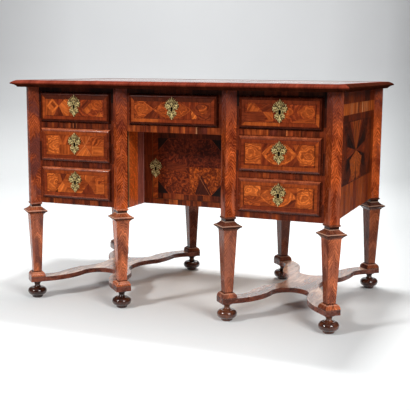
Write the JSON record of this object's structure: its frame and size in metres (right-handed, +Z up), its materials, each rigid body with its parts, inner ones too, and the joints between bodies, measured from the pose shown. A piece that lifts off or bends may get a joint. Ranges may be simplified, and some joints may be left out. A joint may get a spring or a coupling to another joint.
{
  "type": "kneehole writing desk",
  "caption": "Kneehole writing desk with banks of drawers, a recessed cupboard, tapering square legs set cornerwise, X stretchers and bun feet",
  "frame": {"origin": "on the floor, under the middle of the desk", "axes": "+X along the desk's length to the right as seen from the front, -Y is the front with the drawers, +Z is up"},
  "size_m": [1.205, 0.744, 0.79],
  "materials": {
    "parquetry_veneer": "varnished parquetry of dark red and golden brown veneers",
    "top_veneer": "varnished parquetry",
    "back_veneer": "varnished veneer, plainer than the front",
    "post_veneer": "varnished cross-grained veneer",
    "leg_veneer": "varnished cross-grained veneer",
    "stretcher_veneer": "varnished veneer with small dark inlays",
    "dark_turned_wood": "dark polished turning",
    "oak": "plain waxed oak",
    "gilt_brass": "worn gilding"
  },
  "bodies": {
    "carcase": {"back_panels": "back_veneer", "cupboard_frame": "parquetry_veneer", "door_hinges_fixed": "gilt_brass", "dust_boards": "oak", "foot_back_1": "dark_turned_wood", "foot_back_2": "dark_turned_wood", "foot_back_3": "dark_turned_wood", "foot_back_4": "dark_turned_wood", "foot_front_1": "dark_turned_wood", "foot_front_2": "dark_turned_wood", "foot_front_3": "dark_turned_wood", "foot_front_4": "dark_turned_wood", "front_frame": "parquetry_veneer", "kneehole_sides": "parquetry_veneer", "leg_back_1": "leg_veneer", "leg_back_2": "leg_veneer", "leg_back_3": "leg_veneer", "leg_back_4": "leg_veneer", "leg_front_1": "leg_veneer", "leg_front_2": "leg_veneer", "leg_front_3": "leg_veneer", "leg_front_4": "leg_veneer", "post_back_1": "post_veneer", "post_back_2": "post_veneer", "post_back_3": "post_veneer", "post_back_4": "post_veneer", "post_front_1": "post_veneer", "post_front_2": "post_veneer", "post_front_3": "post_veneer", "post_front_4": "post_veneer", "side_panel_left": "parquetry_veneer", "side_panel_right": "parquetry_veneer", "stretcher_left": "stretcher_veneer", "stretcher_right": "stretcher_veneer", "top_board": "top_veneer", "top_edge_moulding": "top_veneer"},
    "drawer_left_top": {"drawer_left_top_box": "oak", "drawer_left_top_front": "parquetry_veneer", "drawer_left_top_lock": "gilt_brass"},
    "drawer_left_middle": {"drawer_left_middle_box": "oak", "drawer_left_middle_front": "parquetry_veneer", "drawer_left_middle_lock": "gilt_brass"},
    "drawer_left_bottom": {"drawer_left_bottom_box": "oak", "drawer_left_bottom_front": "parquetry_veneer", "drawer_left_bottom_lock": "gilt_brass"},
    "drawer_right_top": {"drawer_right_top_box": "oak", "drawer_right_top_front": "parquetry_veneer", "drawer_right_top_lock": "gilt_brass"},
    "drawer_right_middle": {"drawer_right_middle_box": "oak", "drawer_right_middle_front": "parquetry_veneer", "drawer_right_middle_lock": "gilt_brass"},
    "drawer_right_bottom": {"drawer_right_bottom_box": "oak", "drawer_right_bottom_front": "parquetry_veneer", "drawer_right_bottom_lock": "gilt_brass"},
    "drawer_centre": {"drawer_centre_box": "oak", "drawer_centre_front": "parquetry_veneer", "drawer_centre_lock": "gilt_brass"},
    "door": {"door_hinges_moving": "gilt_brass", "door_lock": "gilt_brass", "door_panel": "parquetry_veneer"}
  },
  "joints": [
    {"name": "drawer_left_top_slide", "type": "slide", "parent": "carcase", "child": "drawer_left_top", "axis": [0, -1, 0], "range_m": [0, 0.4]},
    {"name": "drawer_left_middle_slide", "type": "slide", "parent": "carcase", "child": "drawer_left_middle", "axis": [0, -1, 0], "range_m": [0, 0.4]},
    {"name": "drawer_left_bottom_slide", "type": "slide", "parent": "carcase", "child": "drawer_left_bottom", "axis": [0, -1, 0], "range_m": [0, 0.4]},
    {"name": "drawer_right_top_slide", "type": "slide", "parent": "carcase", "child": "drawer_right_top", "axis": [0, -1, 0], "range_m": [0, 0.4]},
    {"name": "drawer_right_middle_slide", "type": "slide", "parent": "carcase", "child": "drawer_right_middle", "axis": [0, -1, 0], "range_m": [0, 0.4]},
    {"name": "drawer_right_bottom_slide", "type": "slide", "parent": "carcase", "child": "drawer_right_bottom", "axis": [0, -1, 0], "range_m": [0, 0.4]},
    {"name": "drawer_centre_slide", "type": "slide", "parent": "carcase", "child": "drawer_centre", "axis": [0, -1, 0], "range_m": [0, 0.4]},
    {"name": "door_hinge", "type": "hinge", "parent": "carcase", "child": "door", "pos_m": [0.14375, -0.176, 0.49], "axis": [0, 0, 1], "range_deg": [0, 90]}
  ]
}
